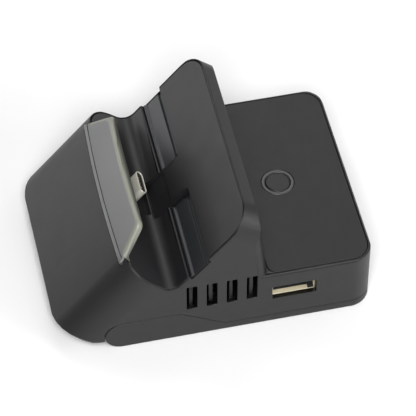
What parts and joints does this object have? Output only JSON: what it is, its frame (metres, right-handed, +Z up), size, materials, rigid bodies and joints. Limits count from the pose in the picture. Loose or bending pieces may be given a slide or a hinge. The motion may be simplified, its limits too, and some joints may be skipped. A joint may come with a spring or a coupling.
{
  "type": "handheld console dock",
  "caption": "Small charging and display dock for a handheld console: a slanted cradle with an upright plug, a flat rear deck with a push button, and side and rear sockets.",
  "frame": {"origin": "on the table, under the middle of the housing's width and depth", "axes": "+X across the cradle towards the side with the socket, +Y from the slanted skirt to the rear wall with the sockets, +Z up"},
  "size_m": [0.0698, 0.0958, 0.0489],
  "materials": {
    "charcoal_plastic": "fine satin moulding",
    "insert_plastic": "fine satin moulding",
    "deck_plastic": "matte grained plate",
    "frosted_plastic": "frosted translucent",
    "pad_rubber": "soft satin",
    "ring_plastic": "satin",
    "button_plastic": "matte",
    "steel": "plated sheet",
    "black_plastic": "moulded",
    "beige_plastic": "moulded",
    "switch_metal": "plated sheet",
    "board_green": "solder mask",
    "lamp_resin": "clear resin",
    "ribbon_film": "film",
    "component_body": "moulded",
    "foot_rubber": "matte"
  },
  "bodies": {
    "housing": {"outer_shell": "charcoal_plastic", "cradle_insert": "insert_plastic", "light_bar": "frosted_plastic", "rest_pad_left": "pad_rubber", "rest_pad_right": "pad_rubber", "deck_plate": "deck_plastic", "button_ring": "ring_plastic", "switch_housing": "switch_metal", "button_board": "board_green", "bottom_cover": "charcoal_plastic", "plug_shell": "steel", "plug_liner": "black_plastic", "plug_holder": "black_plastic", "plug_board": "board_green", "bar_lamps": "lamp_resin", "ribbon": "ribbon_film", "ribbon_sockets": "beige_plastic", "main_board": "board_green", "main_chip": "component_body", "board_parts": "component_body", "side_socket_shell": "steel", "side_socket_tongue": "beige_plastic", "display_socket_shell": "steel", "display_socket_tongue": "black_plastic", "power_inlet_shell": "steel", "power_inlet_tongue": "black_plastic", "cover_screws": "steel", "board_screws": "steel", "button_board_screws": "steel", "plug_board_screws": "steel", "rubber_feet": "foot_rubber"},
    "button": {"mode_button": "button_plastic", "switch_plunger": "black_plastic"}
  },
  "joints": [
    {"name": "button_press", "type": "slide", "parent": "housing", "child": "button", "axis": [0, 0, -1], "range_m": [0, 0.0005], "stiffness_N_per_m": 400, "springref_m": -0.0005}
  ]
}
